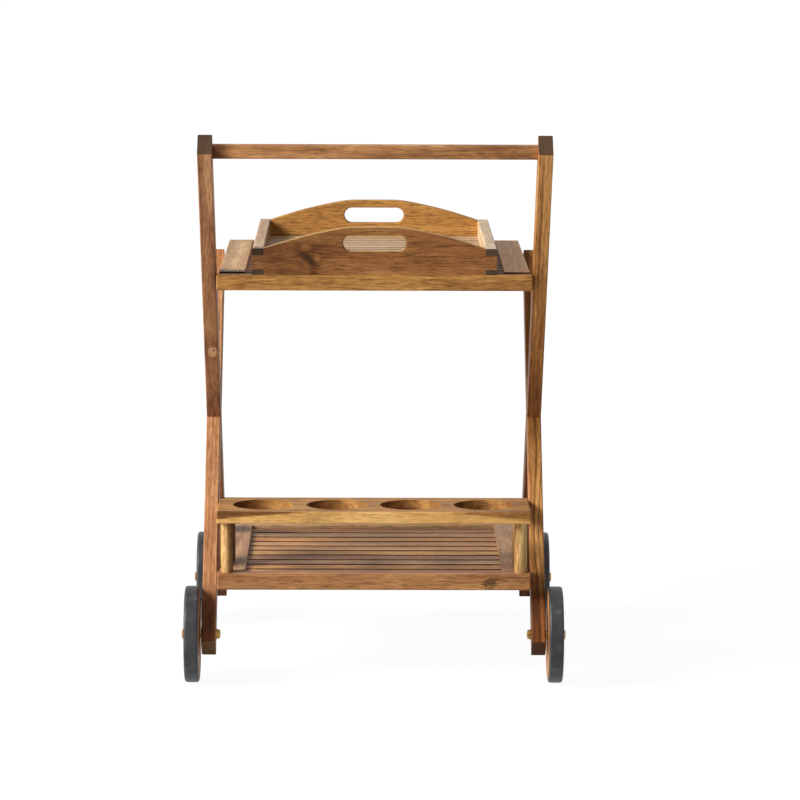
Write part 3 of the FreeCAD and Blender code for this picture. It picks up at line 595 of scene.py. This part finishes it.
def tray_boards():
    """Wood of the tray, whose front panel has a knot with lighter and darker wood around it."""
    front = -0.0085
    return {
        "tray_front_panel": (X_WAY, "umber", {
            "figure": 0.16,
            "spots": [((0.06, front, -0.034), (0.12, 0.02, 0.007), 0.1),
                      ((-0.13, front, 0.012), (0.04, 0.02, 0.01), 0.06),
                      ((-0.098, front, -0.012), (0.022, 0.02, 0.03), -0.07),
                      ((-0.104, front, 0.007), (0.011, 0.02, 0.006), 0.14),
                      ((-0.0865, front, -0.0105), (0.005, 0.02, 0.011), 0.13),
                      ((-0.092, front, -0.031), (0.008, 0.02, 0.012), -0.14),
                      ((-0.116, front, 0.002), (0.009, 0.02, 0.016), -0.1)],
            "knots": [((-0.099, front, -0.013), (0.0112, 0.03, 0.0135), -0.95, 1.6, 0.85)],
            # Painted sheen on the faces that look up or down, which shows on the top rim
            "flank": (Z_WAY, RIM_SHEEN_SHARE)}),
        "tray_rear_panel": (X_WAY, "amber", {"figure": 0.28}),
        "tray_slats": (X_WAY, "pale", {
            "bias": 0.1,
            # Painted shade along the slats' edges and in the gaps between them
            "lane_pitch": 0.03669,
            "flank": (Y_WAY, GAP_SHADE_SHARE)}),
        "tray_side_left": (Y_WAY, "pale", {
            "figure": 0.24,
            "ends": JOINT_END_RANGE,
            "dash_share": 0.35,
            "sawn_tone": srgb(78, 58, 42)}),
        # Lightened beyond the left side as a painted sheen on its top
        "tray_side_right": (Y_WAY, "pale", {
            "figure": 0.2,
            "bias": 0.14,
            "ends": JOINT_END_RANGE,
            "dash_share": 0.3,
            "sawn_tone": srgb(46, 30, 18)}),
    }


def dress_wood():
    """Give every board and wheel disc its own piece of acacia."""
    discs = {f"wheel_disc_{end}_{side}": (Z_WAY, "golden", {}) for end in ENDS for side in SIDES}
    for boards in (leg_boards(), shelf_boards(), rack_boards(), tray_boards(), discs):
        for node, (grain, tone, extra) in boards.items():
            dress(node, wood(f"acacia_{node}", node, grain, tone, **extra))


def dress_rest():
    """Dress the tyres and metal parts, and give the brass, bolt and screw finishes."""
    tyre = rubber()
    brass = metal("axle_brass", srgb(196, 158, 88), srgb(142, 106, 52), 0.34)
    bolt_brass = metal("bolt_brass", srgb(190, 154, 88), srgb(140, 106, 56), 0.36)
    steel = metal("screw_steel", srgb(206, 200, 184), srgb(168, 162, 146), 0.34)
    for end in ENDS:
        for side in SIDES:
            dress(f"tyre_{end}_{side}", tyre)
            dress(f"wheel_bush_{end}_{side}", brass)
    for node in ("axle_washers", "axle_spacers"):
        dress(node, brass)
    dress("bolt_spacers", nylon())
    return brass, bolt_brass, steel


# Fasteners, in metres: turned about their own axis in so many steps, a multiple of six for the hexagons
TURN_STEPS = 48
MERGE_REACH = 1e-5
SHARP_ANGLE = math.radians(28)
HEX_FLATS = 0.013
HEX_FACE_SHARE = 0.86
CHAMFER_SHARE = 0.95
CHAMFER_SLOPE = 1.7


def islands(node):
    """Boxes of the separate solids of a node, each as its lowest and highest corner."""
    sheet = bmesh.new()
    sheet.from_mesh(nodes[node].data)
    bmesh.ops.remove_doubles(sheet, verts=sheet.verts, dist=MERGE_REACH)
    seen = set()
    boxes = []
    for start in sheet.verts:
        if start in seen:
            continue
        seen.add(start)
        waiting = [start]
        found = []
        while waiting:
            vertex = waiting.pop()
            found.append(vertex.co.copy())
            for edge in vertex.link_edges:
                other = edge.other_vert(vertex)
                if other not in seen:
                    seen.add(other)
                    waiting.append(other)
        boxes.append((Vector(map(min, zip(*found))), Vector(map(max, zip(*found)))))
    sheet.free()
    return boxes


def hexagon(flats):
    """Radius of a hexagon over the angle, with a corner at angle zero."""
    def radius(angle):
        return flats / 2 / math.cos(angle % (math.pi / 3) - math.pi / 6)
    return radius


def chamfered(flats, depth):
    """Radius of a hexagon whose corners a cone takes off, at a depth below its face."""
    outline = hexagon(flats)
    cone = CHAMFER_SHARE * flats / 2 + CHAMFER_SLOPE * depth

    def radius(angle):
        return min(outline(angle), cone)
    return radius


def cross(reach, half_width):
    """Radius of a cross-shaped recess over the angle."""
    def radius(angle):
        least = min(abs(math.cos(angle)), abs(math.sin(angle)))
        return min(reach, half_width / max(least, half_width / reach))
    return radius


def turned_rows(sheet, start, turn, rings):
    """Add one row of vertices for each ring: a depth along the axis and a radius, fixed or by angle."""
    rows = []
    for depth, radius in rings:
        row = []
        for i in range(TURN_STEPS):
            angle = 2 * math.pi * i / TURN_STEPS
            reach = radius(angle) if callable(radius) else radius
            spot = Vector((depth, reach * math.cos(angle), reach * math.sin(angle)))
            row.append(sheet.verts.new(start + turn @ spot))
        rows.append(row)
    return rows


def skin(sheet, first, second):
    """Add the faces between two rows."""
    for i in range(TURN_STEPS):
        j = (i + 1) % TURN_STEPS
        sheet.faces.new((first[i], first[j], second[j], second[i]))


def turned_piece(name, places, rings_of, is_ring, material):
    """Make one piece of turned solids; each place is a start, an axis direction and a length."""
    sheet = bmesh.new()
    for start, way, length in places:
        rows = turned_rows(sheet, start, turn_to_x(way).transposed(), rings_of(length))
        for first, second in zip(rows, rows[1:]):
            skin(sheet, first, second)
        if is_ring:
            skin(sheet, rows[-1], rows[0])
        else:
            sheet.faces.new(rows[0])
            sheet.faces.new(reversed(rows[-1]))
    bmesh.ops.recalc_face_normals(sheet, faces=sheet.faces)
    mesh = bpy.data.meshes.new(name)
    sheet.to_mesh(mesh)
    sheet.free()
    mesh.polygons.foreach_set("use_smooth", [True] * len(mesh.polygons))
    mesh.set_sharp_from_angle(angle=SHARP_ANGLE)
    mesh.materials.append(material)
    piece = bpy.data.objects.new(name, mesh)
    bpy.context.scene.collection.objects.link(piece)
    return piece


def axle_bolt_rings(length):
    """Hexagon head with its corners taken off, plain shank and a bevelled tip."""
    head = 0.0032
    shank = 0.004
    bevel = 0.0006
    rings = [(0.0, HEX_FACE_SHARE * HEX_FLATS / 2)]
    rings += [(depth, chamfered(HEX_FLATS, depth)) for depth in (0.0001, 0.0003, 0.0005, 0.0008)]
    rings += [(head, hexagon(HEX_FLATS)), (head, shank)]
    rings += [(length - bevel, shank), (length, shank - bevel)]
    return rings


def axle_nut_rings(length):
    """Hexagon nut with both faces' corners taken off and a countersunk bore."""
    bore = 0.004
    countersink = 0.0004
    depths = (0.0, 0.0002, 0.0004, 0.0008)
    rings = [(0.0, bore + countersink)]
    rings += [(depth, chamfered(HEX_FLATS, depth)) for depth in depths]
    rings += [(length - depth, chamfered(HEX_FLATS, depth)) for depth in reversed(depths)]
    rings += [(length, bore), (countersink, bore)]
    return rings


def shelf_bolt_rings(length):
    """Flush head with a hexagon socket and a bevelled rim, plain shank."""
    socket = 0.005
    socket_depth = 0.0017
    mouth = 1.1 * socket
    mouth_depth = 0.0002
    rim = 0.0068
    # Depth below the face, and distance inside the rim
    rim_steps = ((0.0, 0.0008), (0.0001, 0.0003), (0.0005, 0.0))
    head = 0.0026
    shank = 0.003
    tip = 0.001
    rings = [(socket_depth, hexagon(socket)), (mouth_depth, hexagon(socket)), (0.0, hexagon(mouth))]
    rings += [(depth, rim - inset) for depth, inset in rim_steps]
    rings += [(head, rim), (head, shank), (length - tip, shank), (length, shank - tip)]
    return rings


def cleat_screw_rings(length):
    """Flat head with a cross recess, and a shank that ends in a point."""
    recess_depth = 0.0016
    recess_floor = cross(reach=0.001, half_width=0.0003)
    recess_mouth = cross(reach=0.0024, half_width=0.0006)
    rim = 0.0045
    bevel_width = 0.0004
    bevel_depth = 0.0003
    head = 0.0035
    shank = 0.00225
    point = 0.005
    point_radius = 0.0002
    return [(recess_depth, recess_floor), (0.0, recess_mouth), (0.0, rim - bevel_width),
            (bevel_depth, rim), (head, rim), (head, shank), (length - point, shank),
            (length, point_radius)]


def sideways_places(node, head_outside):
    """Start, direction and length of each fastener of a node that lies across the cart."""
    places = []
    for low, high in islands(node):
        middle = (low + high) / 2
        outward = math.copysign(1, middle.x)
        tip = high.x if (outward > 0) == head_outside else low.x
        way = X_WAY * (-outward if head_outside else outward)
        places.append((Vector((tip, middle.y, middle.z)), way, high.x - low.x))
    return places


def upright_places(node):
    """Start, direction and length of each fastener of a node that is driven up from below."""
    return [(Vector(((low.x + high.x) / 2, (low.y + high.y) / 2, low.z)), Z_WAY, high.z - low.z)
            for low, high in islands(node)]


def add_fasteners(brass, bolt_brass, steel):
    """Put detailed fasteners in the place of the plain ones."""
    bolts = sideways_places("axle_bolts", True)
    nuts = sideways_places("axle_nuts", False)
    shelf_bolts = sideways_places("shelf_bolts", True)
    screws = upright_places("cleat_screws")
    for node, places, rings_of, is_ring, material, slot in (
            ("axle_bolts", bolts, axle_bolt_rings, False, brass, "axle_brass"),
            ("axle_nuts", nuts, axle_nut_rings, True, brass, "axle_brass"),
            ("shelf_bolts", shelf_bolts, shelf_bolt_rings, False, bolt_brass, "bolt_brass"),
            ("cleat_screws", screws, cleat_screw_rings, False, steel, "screw_steel")):
        piece = turned_piece(f"{node}_detailed", places, rings_of, is_ring, material)
        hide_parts(node)
        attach(piece, "frame")


# Camera, in metres, with its focal length in pixels of the photograph and its sensor in millimetres
CAMERA_PLACE = Vector((-0.0167, -6.387, 1.2815))
CAMERA_PITCH = math.radians(7.837)
CAMERA_YAW = math.radians(0.513)
CAMERA_ROLL = math.radians(0.206)
CAMERA_REACH = 100
FOCAL_LENGTH = 4141.0
IMAGE_SIDE = 800
SENSOR_WIDTH = 36.0

# Key light, in metres and watts
KEY_PLACE = Vector((-3.76, -1.6, 2.62))
KEY_TARGET = Vector((0, 0, 0.45))
KEY_SIZE = 2.2
KEY_POWER = 350
KEY_COLOUR = (1.0, 0.985, 0.96)

# World and floor: light on the cart, and what the camera sees near the cart and far off
WORLD_LIGHT = 0.15
FLOOR_SIDE = 60.0
FLOOR_BOUNCE = 0.8
FLOOR_SHOWN = 0.085
FLOOR_GLOW_NEAR = 0.955
FLOOR_NEAR = 0.9
FLOOR_FAR = 3.5


def add_camera():
    forward = Vector((math.sin(CAMERA_YAW) * math.cos(CAMERA_PITCH),
                      math.cos(CAMERA_YAW) * math.cos(CAMERA_PITCH), -math.sin(CAMERA_PITCH)))
    level = Vector((math.cos(CAMERA_YAW), -math.sin(CAMERA_YAW), 0))
    upward = level.cross(forward)
    right = math.cos(CAMERA_ROLL) * level + math.sin(CAMERA_ROLL) * upward
    up = math.cos(CAMERA_ROLL) * upward - math.sin(CAMERA_ROLL) * level
    turn = Matrix((right, up, -forward)).transposed()
    data = bpy.data.cameras.new("camera")
    data.sensor_width = SENSOR_WIDTH
    data.lens = FOCAL_LENGTH / IMAGE_SIDE * SENSOR_WIDTH
    data.clip_end = CAMERA_REACH
    camera = bpy.data.objects.new("camera", data)
    camera.matrix_world = Matrix.Translation(CAMERA_PLACE) @ turn.to_4x4()
    bpy.context.scene.collection.objects.link(camera)
    bpy.context.scene.camera = camera


def add_key_light():
    data = bpy.data.lights.new("key", "AREA")
    data.shape = "DISK"
    data.size = KEY_SIZE
    data.energy = KEY_POWER
    data.color = KEY_COLOUR
    lamp = bpy.data.objects.new("key", data)
    lamp.location = KEY_PLACE
    lamp.rotation_euler = (KEY_TARGET - KEY_PLACE).to_track_quat("-Z", "Y").to_euler()
    bpy.context.scene.collection.objects.link(lamp)


def seen_rays(tree):
    """One for rays that show the surroundings: straight to the camera, mirrored or through glass."""
    path = tree.nodes.new("ShaderNodeLightPath")
    seen = path.outputs["Is Camera Ray"]
    for kind in ("Is Glossy Ray", "Is Transmission Ray"):
        either = tree.nodes.new("ShaderNodeMath")
        either.operation = "MAXIMUM"
        tree.links.new(seen, either.inputs[0])
        tree.links.new(path.outputs[kind], either.inputs[1])
        seen = either.outputs[0]
    return seen


def add_world():
    """White surroundings that light the cart weakly."""
    world = bpy.data.worlds.new("studio")
    bpy.context.scene.world = world
    world.use_nodes = True
    tree = world.node_tree
    strength = tree.nodes.new("ShaderNodeMapRange")
    tree.links.new(seen_rays(tree), strength.inputs["Value"])
    strength.inputs["To Min"].default_value = WORLD_LIGHT
    strength.inputs["To Max"].default_value = 1.0
    background = tree.nodes["Background"]
    background.inputs["Color"].default_value = (1, 1, 1, 1)
    tree.links.new(strength.outputs["Result"], background.inputs["Strength"])


def add_floor():
    """A pale floor that reads white to the camera and keeps a faint shadow near the cart."""
    mesh = bpy.data.meshes.new("floor")
    half = FLOOR_SIDE / 2
    corners = [(-half, -half, 0), (half, -half, 0), (half, half, 0), (-half, half, 0)]
    mesh.from_pydata(corners, [], [(0, 1, 2, 3)])
    floor = bpy.data.objects.new("floor", mesh)
    bpy.context.scene.collection.objects.link(floor)
    g = Graph("floor")
    seen = seen_rays(g.tree)
    away = g.measure("LENGTH", g.coordinates()["Object"])
    glow = g.step(away, FLOOR_NEAR, FLOOR_FAR, FLOOR_GLOW_NEAR, 1.0)
    colour = g.mix(seen, (FLOOR_BOUNCE, FLOOR_BOUNCE, FLOOR_BOUNCE, 1),
                   (FLOOR_SHOWN, FLOOR_SHOWN, FLOOR_SHOWN, 1))
    g.surface(Base_Color=colour, Emission_Strength=g.math("MULTIPLY", seen, glow),
              Emission_Color=(1, 1, 1, 1), Roughness=1.0, Specular_IOR_Level=0.0)
    mesh.materials.append(g.material)


dress_wood()
add_fasteners(*dress_rest())
bpy.context.scene.view_settings.view_transform = "Standard"
add_camera()
add_world()
add_floor()
add_key_light()
